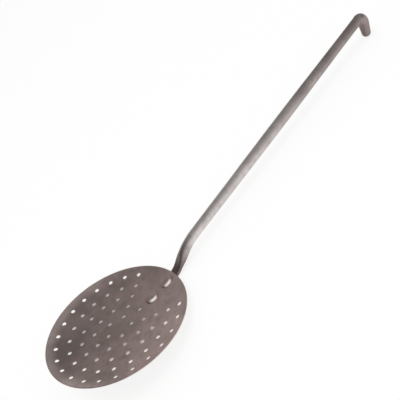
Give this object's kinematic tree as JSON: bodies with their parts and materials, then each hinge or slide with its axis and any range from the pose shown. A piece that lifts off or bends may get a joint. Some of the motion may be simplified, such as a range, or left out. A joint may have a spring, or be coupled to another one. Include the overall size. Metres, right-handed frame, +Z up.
{
  "type": "skimmer",
  "caption": "Skimmer with a shallow perforated steel bowl, riveted to the flattened end of a long round handle that turns down into a hook.",
  "frame": {"origin": "middle of the whole length and width, on the table that the part lies on", "axes": "+X from the bowl along the handle to the hook, +Z up, with the hollow of the bowl facing up"},
  "size_m": [0.4676, 0.14, 0.0396],
  "materials": {
    "bowl_steel": "satin",
    "handle_steel": "satin",
    "rivet_steel": "polished"
  },
  "bodies": {
    "root": {"bowl": "bowl_steel", "handle": "handle_steel", "rivets": "rivet_steel"}
  },
  "joints": []
}
